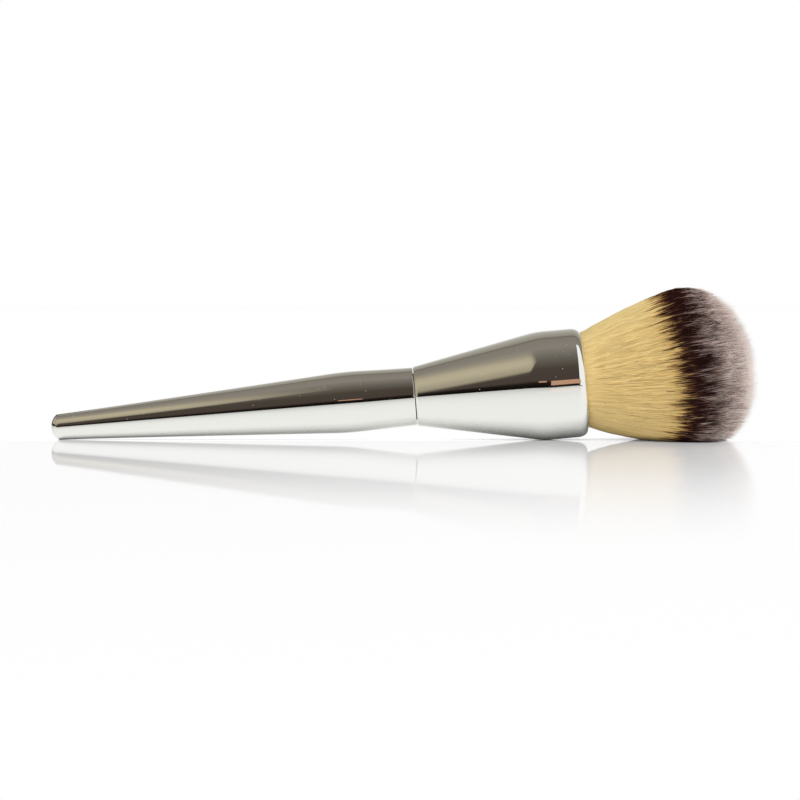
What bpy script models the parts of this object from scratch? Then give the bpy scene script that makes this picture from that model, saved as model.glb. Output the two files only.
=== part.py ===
"""Powder brush with a plated tapered handle, a plated conical ferrule and a domed tuft.

The brush lies on a flat surface on three places: the rounded tip of the handle, the shoulder
of the ferrule and the pressed underside of the tuft. Lengths are in metres. Every piece is
made on the brush's own axis, with `along` measured from the handle's tip towards the bristles
and `radius` measured from that axis, and one empty tilts the whole brush onto the surface.
The axis' local +X side is the underside, so a piece's first profile line is the lowest one.
"""

import math
import random

import bmesh
import bpy
from mathutils import Vector

COLLECTION_NAME = "powder_brush"

# Clearance between pieces that nest in or meet one another.
FIT_GAP = 0.0003

# Handle: an open-ended shell that tapers to a crowned, closed tip.
HANDLE_LENGTH = 0.1003
TIP_RADIUS = 0.0035
TIP_CROWN = 0.0017
TIP_EDGE_ROUND = 0.0004
HANDLE_CREST_RADIUS = 0.00855
HANDLE_NECK_LENGTH = 0.0183
HANDLE_CREST_BLEND = 0.00052
HANDLE_END_RADIUS = 0.00804
HANDLE_WALL = 0.0014
HANDLE_BORE_FLOOR = 0.0220
SEAM_ROUND = 0.0003
TAPER_POWER = 1.05
NECK_POWER = 1.5
HANDLE_STATION_SHARES = (0.99, 0.95, 0.90, 0.86, 0.84, 0.82, 0.80, 0.77, 0.64, 0.48, 0.32, 0.17, 0.07)
BORE_STATION_SHARES = (0.0, 0.25, 0.5, 0.75, 1.0)

# Ballast rod between the narrowing bore and the joining plug.
WEIGHT_RADIUS = 0.0036
WEIGHT_EDGE = 0.0005
WEIGHT_SOCKET_DEPTH = 0.0080

# Joining plug: a pin in the handle and a cored cone in the ferrule.
PIN_LENGTH = 0.0200
PIN_LEAD = 0.0006
PLUG_CONE_LENGTH = 0.0226
PLUG_WALL = 0.0018
PLUG_POCKET_DEPTH = 0.0145

# Cured adhesive beads, each in a groove of the plug.
BEAD_LENGTH = 0.0020
BEAD_THICKNESS = 0.0009
HANDLE_BEAD_INSET = 0.0080
FERRULE_BEAD_INSET = 0.0045

# Ferrule: a cone that turns into a short band with a lip rolled inwards.
FERRULE_STEP = 0.00020
FERRULE_RADIUS = 0.0150
FERRULE_CONE_LENGTH = 0.0341
FERRULE_BAND_LENGTH = 0.0121
FERRULE_WALL = 0.0012
SHOULDER_ROUND = 0.0280
LIP_LENGTH = 0.0026
LIP_ROLL_IN = 0.0003
LIP_ROLL_DEPTH = 0.0018

# Liner cup, potting and tie that hold the root of the bundle.
LINER_WALL = 0.0011
LINER_FLOOR = 0.0020
POTTING_DEPTH = 0.0050
TIE_THICKNESS = 0.0012
TIE_ABOVE_ROOT = 0.0050
BOUND_PAST_TIE = 0.0019

# Tuft. Its root is bound solid, and the strands leave it just inside the mouth.
STRAND_START_INSET = 0.0004
STRAND_GAP = 0.0003
HEAD_RADIUS = 0.0234
HEAD_ABOVE_MOUTH = 0.0277
DOME_DEPTH = 0.0193
FLARE_POWER = 1.25
STRAND_LEVEL_SHARES = (0.42, 0.86)
PRESSED_RIM_SHARE = 0.975
TIP_SCATTER = 0.0005
SCATTER_SEED = 11

# Facets round the axis and round each corner. The strands number six times the square of their rings.
SHELL_SIDES = 48
INNER_SIDES = 32
TIE_SECTION_SIDES = 6
HEXAGON_SIDES = 6
RINGS_OF_STRANDS = 8
ROUND_STEPS = 3
SHOULDER_STEPS = 4
LIP_STEPS = 5
CROWN_STEPS = 3

# Points closer than this are one point of an outline.
SAME_POINT = 0.00001

QUARTER_TURN = math.pi / 2
HALF_TURN = math.pi

# Colour, roughness and metallic value of each finish.
FINISHES = {
    "plated_shell": ((0.72, 0.70, 0.67), 0.10, 1.0),
    "steel": ((0.42, 0.42, 0.43), 0.40, 1.0),
    "moulded_plastic": ((0.62, 0.61, 0.58), 0.55, 0.0),
    "cured_resin": ((0.55, 0.42, 0.20), 0.25, 0.0),
    "thread": ((0.75, 0.72, 0.65), 0.85, 0.0),
    "filament": ((0.55, 0.38, 0.22), 0.60, 0.0),
}


def finish(node_name, finish_name):
    """A Principled material for one piece."""
    colour, roughness, metallic = FINISHES[finish_name]
    material = bpy.data.materials.new(f"{node_name}_{finish_name}")
    material.use_nodes = True
    shader = material.node_tree.nodes["Principled BSDF"]
    shader.inputs["Base Color"].default_value = (*colour, 1.0)
    shader.inputs["Roughness"].default_value = roughness
    shader.inputs["Metallic"].default_value = metallic
    return material


def between(start, end, share):
    """The value that lies this share of the way from start to end."""
    return start + (end - start) * share


def arc(centre_along, centre_radius, size, start, end, steps):
    """Points round a corner: angle 0 points along the axis, a quarter turn points outwards."""
    angles = [between(start, end, step / steps) for step in range(steps + 1)]
    return [(centre_along + size * math.cos(a), centre_radius + size * math.sin(a)) for a in angles]


# Handle sizes that follow from the driving ones.


def crest_along():
    """Where the long taper and the short neck of the handle meet."""
    return HANDLE_LENGTH - HANDLE_NECK_LENGTH


def taper_radius(along):
    """The long cone from the tip's edge to the crest, bowed in very slightly."""
    share = (along - TIP_CROWN) / (crest_along() - TIP_CROWN)
    return between(TIP_RADIUS, HANDLE_CREST_RADIUS, share**TAPER_POWER)


def neck_radius(along):
    """The short fall from the crest to the joint, which levels out at the joint."""
    left = (HANDLE_LENGTH - along) / HANDLE_NECK_LENGTH
    return between(HANDLE_END_RADIUS, HANDLE_CREST_RADIUS, left**NECK_POWER)


def handle_radius(along):
    """Outside of the handle: the lower of its two slopes, blended where they cross."""
    taper, neck = taper_radius(along), neck_radius(along)
    overlap = max(0.0, HANDLE_CREST_BLEND - abs(taper - neck))
    return min(taper, neck) - overlap**2 / (4 * HANDLE_CREST_BLEND)


def taper_along(radius):
    """Where the long cone reaches this radius."""
    share = max(0.0, (radius - TIP_RADIUS) / (HANDLE_CREST_RADIUS - TIP_RADIUS))
    return between(TIP_CROWN, crest_along(), share ** (1 / TAPER_POWER))


def pin_foot():
    return HANDLE_LENGTH - PIN_LENGTH


def socket_floor():
    """Depth from which the handle's bore is straight, for the plug's pin."""
    return pin_foot() - FIT_GAP


def socket_radius():
    return min(handle_radius(socket_floor()), HANDLE_END_RADIUS) - HANDLE_WALL


def bore_radius(along):
    """Inside of the handle: its wall's inner face, no wider than the socket."""
    return min(handle_radius(along) - HANDLE_WALL, socket_radius())


# Ferrule sizes that follow from the driving ones.


def ferrule_foot():
    return HANDLE_LENGTH + FIT_GAP


def ferrule_foot_radius():
    """The ferrule starts a hair prouder than the handle ends."""
    return HANDLE_END_RADIUS + FERRULE_STEP


def shoulder_along():
    return ferrule_foot() + FERRULE_CONE_LENGTH


def mouth_along():
    return shoulder_along() + FERRULE_BAND_LENGTH


def lip_thickness():
    """The lip is as thick as the wall and what is rolled in."""
    return FERRULE_WALL + LIP_ROLL_IN


def mouth_radius():
    return FERRULE_RADIUS - lip_thickness()


def cone_angle():
    """Half-angle of the ferrule's cone."""
    return math.atan((FERRULE_RADIUS - ferrule_foot_radius()) / FERRULE_CONE_LENGTH)


def ferrule_bore(along):
    """Inside of the ferrule: the cone and the band, each one wall inside the outer face."""
    share = min(1.0, (along - ferrule_foot()) / FERRULE_CONE_LENGTH)
    return between(ferrule_foot_radius(), FERRULE_RADIUS, share) - FERRULE_WALL


# Joining plug and its beads.


def plug_top():
    return ferrule_foot() + PLUG_CONE_LENGTH


def plug_cone(along):
    return ferrule_bore(along) - FIT_GAP


def plug_pin(along):
    return socket_radius() - FIT_GAP


def pocket_radius(along):
    """The plug's cored pocket, one wall inside the bottom of its bead's groove."""
    return plug_cone(along) - BEAD_THICKNESS - FIT_GAP - PLUG_WALL


def weight_top():
    return pin_foot() + WEIGHT_SOCKET_DEPTH - FIT_GAP


def handle_bead_top():
    return HANDLE_LENGTH - HANDLE_BEAD_INSET


def ferrule_bead_top():
    return plug_top() - FERRULE_BEAD_INSET


# Liner, potting and bundle. Each one stands on the piece before it.


def liner_foot():
    return plug_top() + FIT_GAP


def liner_top():
    return mouth_along() - LIP_ROLL_DEPTH - FIT_GAP


def liner_bore(along):
    """Inside of the liner cup, one wall inside its outer face."""
    return ferrule_bore(along) - FIT_GAP - LINER_WALL


def potting_foot():
    return liner_foot() + LINER_FLOOR + FIT_GAP


def bundle_foot():
    return potting_foot() + POTTING_DEPTH + FIT_GAP


def tie_along():
    return bundle_foot() + TIE_ABOVE_ROOT


def bundle_radius():
    """The bound root: clear of the liner, with room round it for the tie."""
    beside_the_tie = liner_bore(tie_along()) - TIE_THICKNESS - 2 * FIT_GAP
    return min(beside_the_tie, liner_bore(bundle_foot()) - FIT_GAP)


# Outlines, each as (along, radius) points. A turned piece's outer side runs from its top down.


def tip_outline():
    """The tip's small edge round and the crown that leads tangent from it to the pole."""
    crown_turn = 2 * math.atan(TIP_CROWN / TIP_RADIUS)
    edge_turn = QUARTER_TURN - crown_turn
    crown_edge_radius = TIP_RADIUS - TIP_EDGE_ROUND * (1 - math.cos(edge_turn))
    crown_size = crown_edge_radius / math.sin(crown_turn)
    edge_centre = crown_size * (1 - math.cos(crown_turn)) + TIP_EDGE_ROUND * math.sin(edge_turn)
    edge_inset = TIP_RADIUS - TIP_EDGE_ROUND
    edge_end = QUARTER_TURN + edge_turn
    edge = arc(edge_centre, edge_inset, TIP_EDGE_ROUND, QUARTER_TURN, edge_end, ROUND_STEPS)
    crown = arc(crown_size, 0.0, crown_size, edge_end, HALF_TURN, CROWN_STEPS)
    return edge + crown[1:-1] + [(0.0, 0.0)]


def handle_outer_side():
    """From the seam lip over the crest and down the taper to the tip's pole."""
    seam = HANDLE_LENGTH - SEAM_ROUND
    points = arc(seam, HANDLE_END_RADIUS - SEAM_ROUND, SEAM_ROUND, 0.0, QUARTER_TURN, ROUND_STEPS)
    for share in HANDLE_STATION_SHARES:
        along = between(TIP_CROWN, seam, share)
        points.append((along, handle_radius(along)))
    return points + tip_outline()


def handle_outline():
    """A cup: up the bore from its floor, over the rim, and down the outer side."""
    bore = [(HANDLE_BORE_FLOOR, 0.0)]
    for share in BORE_STATION_SHARES:
        along = between(HANDLE_BORE_FLOOR, socket_floor(), share)
        bore.append((along, bore_radius(along)))
    bore.append((HANDLE_LENGTH, socket_radius()))
    return bore + handle_outer_side()


def weight_outline():
    """A rod with broken edges, from its seat in the narrowing bore into the plug."""
    seat = taper_along(WEIGHT_RADIUS + FIT_GAP + HANDLE_WALL)
    foot = max(seat, HANDLE_BORE_FLOOR + FIT_GAP)
    return [
        (weight_top(), 0.0),
        (weight_top(), WEIGHT_RADIUS - WEIGHT_EDGE),
        (weight_top() - WEIGHT_EDGE, WEIGHT_RADIUS),
        (foot + WEIGHT_EDGE, WEIGHT_RADIUS),
        (foot, WEIGHT_RADIUS - WEIGHT_EDGE),
        (foot, 0.0),
    ]


def groove(bead_top, outer_radius):
    """Four points of the groove round a bead, down the outer side of the plug."""
    top = bead_top + FIT_GAP
    foot = bead_top - BEAD_LENGTH - FIT_GAP
    depth = BEAD_THICKNESS + FIT_GAP
    return [
        (top, outer_radius(top)),
        (top, outer_radius(top) - depth),
        (foot, outer_radius(foot) - depth),
        (foot, outer_radius(foot)),
    ]


def plug_outline():
    """A cored cone over a grooved pin, whose foot has a socket for the ballast rod."""
    pocket_floor = plug_top() - PLUG_POCKET_DEPTH
    cone_foot_radius = plug_cone(ferrule_foot())
    pin_radius = plug_pin(pin_foot())
    waist_radius = min(cone_foot_radius, pin_radius)
    socket = WEIGHT_RADIUS + FIT_GAP
    socket_top = pin_foot() + WEIGHT_SOCKET_DEPTH
    return [
        (pocket_floor, 0.0),
        (pocket_floor, pocket_radius(pocket_floor)),
        (plug_top(), pocket_radius(plug_top())),
        (plug_top(), plug_cone(plug_top())),
        *groove(ferrule_bead_top(), plug_cone),
        (ferrule_foot(), cone_foot_radius),
        (ferrule_foot(), waist_radius),
        (HANDLE_LENGTH, waist_radius),
        (HANDLE_LENGTH, pin_radius),
        *groove(handle_bead_top(), plug_pin),
        (pin_foot() + PIN_LEAD, pin_radius),
        (pin_foot(), pin_radius - PIN_LEAD),
        (pin_foot(), socket),
        (socket_top, socket),
        (socket_top, 0.0),
    ]


def bead_outline(top, outer_radius):
    """A ring of adhesive that fills its groove."""
    foot = top - BEAD_LENGTH
    return [
        (top, outer_radius(top)),
        (foot, outer_radius(foot)),
        (foot, outer_radius(foot) - BEAD_THICKNESS),
        (top, outer_radius(top) - BEAD_THICKNESS),
    ]


def lip_outline():
    """The rolled lip: a quarter of an ellipse from the mouth's edge out to the band."""
    quarter = arc(0.0, 0.0, 1.0, 0.0, QUARTER_TURN, LIP_STEPS)
    foot = mouth_along() - LIP_LENGTH
    return [(foot + LIP_LENGTH * x, mouth_radius() + lip_thickness() * y) for x, y in quarter]


def ferrule_outer_side():
    """From the lip's crown over the band, round the shoulder and down the cone."""
    cone_turn = QUARTER_TURN + cone_angle()
    shoulder_centre = shoulder_along() + SHOULDER_ROUND * math.tan(cone_angle() / 2)
    foot_centre = ferrule_foot() + SEAM_ROUND
    shoulder_inset = FERRULE_RADIUS - SHOULDER_ROUND
    foot_inset = ferrule_foot_radius() - SEAM_ROUND
    shoulder = arc(shoulder_centre, shoulder_inset, SHOULDER_ROUND, QUARTER_TURN, cone_turn, SHOULDER_STEPS)
    foot = arc(foot_centre, foot_inset, SEAM_ROUND, cone_turn, HALF_TURN, ROUND_STEPS)
    return lip_outline() + shoulder + foot


def ferrule_outline():
    """A closed section: down the outer side, then up the bore and under the rolled lip."""
    roll_foot = mouth_along() - LIP_ROLL_DEPTH
    return ferrule_outer_side() + [
        (ferrule_foot(), ferrule_bore(ferrule_foot())),
        (shoulder_along(), ferrule_bore(shoulder_along())),
        (roll_foot, ferrule_bore(roll_foot)),
        (roll_foot, mouth_radius()),
    ]


def liner_outline():
    """A cup that follows the ferrule's bore, open towards the bristles."""
    floor = liner_foot() + LINER_FLOOR
    band_radius = ferrule_bore(shoulder_along()) - FIT_GAP
    return [
        (floor, 0.0),
        (floor, liner_bore(floor)),
        (shoulder_along(), liner_bore(shoulder_along())),
        (liner_top(), liner_bore(liner_top())),
        (liner_top(), band_radius),
        (shoulder_along(), band_radius),
        (liner_foot(), ferrule_bore(liner_foot()) - FIT_GAP),
        (liner_foot(), 0.0),
    ]


def potting_outline():
    """The set resin in the bottom of the cup."""
    foot = potting_foot()
    top = foot + POTTING_DEPTH
    return [
        (top, 0.0),
        (top, liner_bore(top) - FIT_GAP),
        (foot, liner_bore(foot) - FIT_GAP),
        (foot, 0.0),
    ]


# How the brush lies.


def resting_line():
    """Tilt of the axis and the contact on the shoulder, where one line touches tip and shoulder."""
    tip_points = [point for point in handle_outer_side() if point[0] < HANDLE_LENGTH / 2]
    lines = []
    for tip_along, tip_radius in tip_points:
        slopes = [
            ((radius - tip_radius) / (along - tip_along), along, radius)
            for along, radius in ferrule_outer_side()
        ]
        lines.append(max(slopes))
    slope, along, radius = min(lines)
    return math.atan(slope), along, radius


def surface_below(along, resting):
    """Distance from the axis down to the surface, square to the axis."""
    tilt, contact_along, contact_radius = resting
    return contact_radius + (along - contact_along) * math.tan(tilt)


# Shape of the tuft.


def strand_start():
    return mouth_along() - STRAND_START_INSET


def head_along():
    """Where the head is widest."""
    return mouth_along() + HEAD_ABOVE_MOUTH


def spread_radius(along):
    """How far the outermost strands lie from the axis, which stays level past the widest place."""
    share = min(1.0, (along - strand_start()) / (head_along() - strand_start()))
    return between(mouth_radius() - FIT_GAP, HEAD_RADIUS, 1 - (1 - share) ** FLARE_POWER)


def free_outline(along):
    """Outline of the tuft before it is pressed: the flare, then half an ellipse."""
    share = min(1.0, max(0.0, (along - head_along()) / DOME_DEPTH))
    return spread_radius(along) * math.sqrt(1 - share**2)


def tip_along(centre_share):
    """Where a strand ends on the dome, if it stands at this share of the spread."""
    return head_along() + DOME_DEPTH * math.sqrt(1 - centre_share**2)


def pressed_down(along, down, side, resting):
    """Squeezes the underside of the head flat against the surface and leaves the rest alone."""
    surface = surface_below(along, resting)
    free = math.sqrt(max(0.0, free_outline(along) ** 2 - side**2))
    if down > 0 and free > surface:
        down *= surface / (free * PRESSED_RIM_SHARE)
    return min(down, surface)


# Making of the tuft.


def to_disc(x, y):
    """Moves a point of a unit hexagon along its own ray, so that the hexagon becomes a disc."""
    reach = math.hypot(x, y)
    if reach == 0:
        return x, y
    sixth = math.tau / HEXAGON_SIDES
    to_walls = [abs(x * math.cos(k * sixth) + y * math.sin(k * sixth)) for k in range(HEXAGON_SIDES)]
    scale = max(to_walls) / math.cos(sixth / 2) / reach
    return x * scale, y * scale


def disc_of_cells(mesh):
    """Divides a unit disc into equal three-sided cells with a gap round each one."""
    bmesh.ops.create_circle(mesh, cap_ends=True, cap_tris=True, segments=HEXAGON_SIDES, radius=1.0)
    bmesh.ops.subdivide_edges(mesh, edges=mesh.edges[:], cuts=RINGS_OF_STRANDS - 1, use_grid_fill=True)
    for vertex in mesh.verts:
        vertex.co.x, vertex.co.y = to_disc(vertex.co.x, vertex.co.y)
    cells = mesh.faces[:]
    half_gap = STRAND_GAP / 2 / (mouth_radius() - FIT_GAP)
    bmesh.ops.inset_individual(mesh, faces=cells, thickness=half_gap, use_even_offset=True)
    return cells


def draw_strands(mesh, cells, tip_of):
    """Draws each cell out to a pointed strand. A vertex' height is its share of the strand."""
    scatter = random.Random(SCATTER_SEED)
    for cell in cells:
        centre = cell.calc_center_median()
        tip = tip_along(math.hypot(centre.x, centre.y)) + scatter.uniform(-TIP_SCATTER, TIP_SCATTER)
        for vertex in cell.verts:
            vertex[tip_of] = tip
    tops = cells
    for share in STRAND_LEVEL_SHARES:
        tops = bmesh.ops.extrude_discrete_faces(mesh, faces=tops)["faces"]
        for vertex in {vertex for top in tops for vertex in top.verts}:
            vertex.co.z = share
    for top in tops:
        tip = top.verts[0][tip_of]
        point = bmesh.ops.poke(mesh, faces=[top])["verts"][0]
        point.co.z = 1.0
        point[tip_of] = tip


def spread_strands(mesh, tip_of, resting):
    """Moves every vertex from the unit disc to its place in the brush."""
    for vertex in mesh.verts:
        if vertex.co.z == 0:
            spread = spread_radius(strand_start())
            vertex.co = Vector((vertex.co.x * spread, vertex.co.y * spread, strand_start()))
            continue
        along = between(strand_start(), vertex[tip_of], vertex.co.z)
        side = vertex.co.y * spread_radius(along)
        down = pressed_down(along, vertex.co.x * spread_radius(along), side, resting)
        vertex.co = Vector((down, side, along))


def close_root(mesh):
    """Carries the rim of the disc down into the liner and closes it at the bundle's foot."""
    rim = [edge for edge in mesh.edges if edge.is_boundary]
    bound_top = tie_along() + TIE_THICKNESS / 2 + BOUND_PAST_TIE
    levels = (
        (liner_top(), liner_bore(liner_top()) - FIT_GAP),
        (bound_top, bundle_radius()),
        (bundle_foot(), bundle_radius()),
    )
    for along, radius in levels:
        made = bmesh.ops.extrude_edge_only(mesh, edges=rim)["geom"]
        rim = [part for part in made if isinstance(part, bmesh.types.BMEdge)]
        for vertex in {vertex for edge in rim for vertex in edge.verts}:
            outwards = Vector((vertex.co.x, vertex.co.y, 0)).normalized() * radius
            vertex.co = Vector((outwards.x, outwards.y, along))
    bmesh.ops.holes_fill(mesh, edges=rim, sides=len(rim))
    bmesh.ops.recalc_face_normals(mesh, faces=mesh.faces[:])


# Assembly.


def clear_scene():
    for thing in list(bpy.data.objects):
        bpy.data.objects.remove(thing, do_unlink=True)


def place(thing, name, finish_name, axis, collection):
    """Names a piece, gives it its finish and hangs it on the brush's axis."""
    thing.name = name
    thing.data.name = name
    thing.data.materials.append(finish(name, finish_name))
    thing.parent = axis
    for holder in list(thing.users_collection):
        holder.objects.unlink(thing)
    collection.objects.link(thing)


def without_repeats(outline):
    """Drops a point that lies on the one before it."""
    kept = outline[:1]
    for point in outline[1:]:
        if math.dist(point, kept[-1]) > SAME_POINT:
            kept.append(point)
    return kept


def turned(name, outline, finish_name, axis, collection, sides, ring=False):
    """A turned piece, whose origin lies on the axis at its own foot."""
    outline = without_repeats(outline)
    foot = min(along for along, _ in outline)
    points = [(radius, 0.0, along - foot) for along, radius in outline]
    edges = [(index, index + 1) for index in range(len(points) - 1)]
    if ring:
        edges.append((len(points) - 1, 0))
    mesh = bpy.data.meshes.new(name)
    mesh.from_pydata(points, edges, [])
    piece = bpy.data.objects.new(name, mesh)
    piece.location.z = foot
    screw = piece.modifiers.new("Turn", "SCREW")
    screw.axis = "Z"
    screw.angle = math.tau
    screw.steps = sides
    screw.render_steps = sides
    screw.use_merge_vertices = True
    screw.merge_threshold = SAME_POINT
    screw.use_smooth_shade = True
    place(piece, name, finish_name, axis, collection)


def add_tie(axis, collection):
    """The binding ring round the root of the bundle."""
    bpy.ops.mesh.primitive_torus_add(
        major_radius=bundle_radius() + FIT_GAP + TIE_THICKNESS / 2,
        minor_radius=TIE_THICKNESS / 2,
        major_segments=INNER_SIDES,
        minor_segments=TIE_SECTION_SIDES,
    )
    tie = bpy.context.active_object
    tie.location = (0, 0, tie_along())
    tie.data.shade_smooth()
    place(tie, "root_tie", "thread", axis, collection)


def add_tuft(axis, collection, resting):
    """The strands on their bound root, whose origin lies at the root's foot. Returns its mesh."""
    strands = bmesh.new()
    cells = disc_of_cells(strands)
    tip_of = strands.verts.layers.float.new("tip")
    draw_strands(strands, strands.faces[: len(cells)], tip_of)
    spread_strands(strands, tip_of, resting)
    close_root(strands)
    bmesh.ops.translate(strands, verts=strands.verts[:], vec=Vector((0, 0, -bundle_foot())))
    mesh = bpy.data.meshes.new("bristle_tuft")
    strands.to_mesh(mesh)
    strands.free()
    tuft = bpy.data.objects.new("bristle_tuft", mesh)
    tuft.location.z = bundle_foot()
    place(tuft, "bristle_tuft", "filament", axis, collection)
    return mesh


def lay_down(axis, tuft_mesh, resting):
    """Tilts the axis onto the surface, with the middle of the brush's length over the origin."""
    tilt, contact_along, contact_radius = resting
    near_end = min(
        along * math.cos(tilt) - radius * math.sin(tilt) for along, radius in handle_outer_side()
    )
    far_end = max(
        (bundle_foot() + vertex.co.z) * math.cos(tilt) + vertex.co.x * math.sin(tilt)
        for vertex in tuft_mesh.vertices
    )
    height = contact_radius * math.cos(tilt) - contact_along * math.sin(tilt)
    axis.rotation_euler = (0, QUARTER_TURN - tilt, 0)
    axis.location = (-(near_end + far_end) / 2, 0, height)


def build():
    clear_scene()
    collection = bpy.data.collections.new(COLLECTION_NAME)
    bpy.context.scene.collection.children.link(collection)
    axis = bpy.data.objects.new("brush_axis", None)
    collection.objects.link(axis)

    turned("handle_shell", handle_outline(), "plated_shell", axis, collection, SHELL_SIDES)
    turned("handle_weight", weight_outline(), "steel", axis, collection, INNER_SIDES)
    turned("tenon_plug", plug_outline(), "moulded_plastic", axis, collection, INNER_SIDES)
    beads = (
        ("handle_glue_bead", bead_outline(handle_bead_top(), plug_pin)),
        ("ferrule_glue_bead", bead_outline(ferrule_bead_top(), plug_cone)),
    )
    for name, outline in beads:
        turned(name, outline, "cured_resin", axis, collection, INNER_SIDES, ring=True)
    turned("ferrule", ferrule_outline(), "plated_shell", axis, collection, SHELL_SIDES, ring=True)
    turned("ferrule_liner", liner_outline(), "moulded_plastic", axis, collection, INNER_SIDES)
    turned("root_potting", potting_outline(), "cured_resin", axis, collection, INNER_SIDES)
    add_tie(axis, collection)
    resting = resting_line()
    tuft_mesh = add_tuft(axis, collection, resting)
    lay_down(axis, tuft_mesh, resting)


build()
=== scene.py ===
"""Dressed model of a powder brush and the small white studio it lies in.

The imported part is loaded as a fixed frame. The plated handle and ferrule are turned again with
a finer outline, the tuft is drawn as thousands of tapered filaments, and every inner piece gets
its own finish. Lengths are in metres unless a name or comment says millimetres.
"""

import logging
import math
from dataclasses import dataclass
from enum import Enum

import bpy
import numpy as np
from mathutils import Matrix, Vector


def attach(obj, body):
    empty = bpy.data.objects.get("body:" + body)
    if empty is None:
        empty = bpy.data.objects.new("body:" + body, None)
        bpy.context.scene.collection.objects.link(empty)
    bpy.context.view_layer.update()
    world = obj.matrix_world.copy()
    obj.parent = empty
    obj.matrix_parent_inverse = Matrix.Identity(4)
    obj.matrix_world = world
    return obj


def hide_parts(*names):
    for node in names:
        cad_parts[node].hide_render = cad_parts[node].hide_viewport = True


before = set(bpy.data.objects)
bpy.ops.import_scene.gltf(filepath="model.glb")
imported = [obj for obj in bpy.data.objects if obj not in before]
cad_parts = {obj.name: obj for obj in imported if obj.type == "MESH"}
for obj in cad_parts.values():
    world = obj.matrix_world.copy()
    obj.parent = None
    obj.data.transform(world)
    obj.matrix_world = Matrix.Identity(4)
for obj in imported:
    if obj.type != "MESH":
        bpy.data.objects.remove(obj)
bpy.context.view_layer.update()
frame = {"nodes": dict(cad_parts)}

LOG = logging.getLogger("powder_brush")
MM = 0.001
QUARTER_TURN = math.pi / 2
WHITE_LIGHT = (1.0, 1.0, 1.0, 1.0)
Number = float | np.ndarray
Colour = tuple[float, float, float, float]
Span = tuple[float, float]


# Colour and node helpers.


def linear(hex_colour: str) -> Colour:
    """Turn an sRGB colour to linear light.

    Args:
        hex_colour: Six sRGB hex digits after a hash.

    Returns:
        Red, green, blue and an alpha of one.
    """
    parts = np.array([int(hex_colour[start : start + 2], 16) for start in (1, 3, 5)]) / 255
    light = np.where(parts <= 0.04045, parts / 12.92, ((parts + 0.055) / 1.055) ** 2.4)
    return (*map(float, light), 1.0)


def seen_in_chrome(hex_colour: str) -> Colour:
    """Light that looks like this colour once it is reflected in the plating.

    Args:
        hex_colour: The colour as it is seen in the metal.

    Returns:
        The colour divided by the plating's own, in linear light.
    """
    seen, metal = linear(hex_colour), linear(PlatedChrome.colour)
    return (*(a / b for a, b in zip(seen[:3], metal[:3])), 1.0)


def per_metre(sizes_mm: tuple[float, ...]) -> tuple[float, ...]:
    """Return how many of each size in millimetres go into a metre."""
    return tuple(1 / (size * MM) for size in sizes_mm)


class NodeSheet:
    """The nodes of one material or of the world, built anew."""

    def __init__(self, owner: bpy.types.Material | bpy.types.World) -> None:
        """Clear the owner's nodes.

        Args:
            owner: The material or the world.
        """
        owner.use_nodes = True
        self.owner = owner
        self.tree = owner.node_tree
        self.tree.nodes.clear()

    def add(
        self, kind: str, links: dict[str | int, object] | None = None, out: str | int = 0, **settings: object
    ) -> bpy.types.NodeSocket | None:
        """Add a node.

        Args:
            kind: The node's type, without the words ShaderNode.
            links: Input name or number to a socket to link from, or a value to set.
            out: Name or number of the output that is wanted.
            settings: Properties to set on the node itself.

        Returns:
            That output, or nothing where the node has none.
        """
        node = self.tree.nodes.new("ShaderNode" + kind)
        for name, value in settings.items():
            setattr(node, name, value)
        for name, value in (links or {}).items():
            if isinstance(value, bpy.types.NodeSocket):
                self.tree.links.new(value, node.inputs[name])
            else:
                node.inputs[name].default_value = value
        return node.outputs[out] if node.outputs else None


def set_stops(ramp: bpy.types.NodeSocket, stops: list[tuple[float, Colour]]) -> None:
    """Give a Color Ramp node its stops.

    Args:
        ramp: The node's colour output.
        stops: Position from 0 to 1 and linear colour, in order.
    """
    elements = ramp.node.color_ramp.elements
    while len(elements) > 1:
        elements.remove(elements[0])
    elements[0].position, elements[0].color = stops[0]
    for position, colour in stops[1:]:
        elements.new(position).color = colour


# Finishes.


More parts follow.
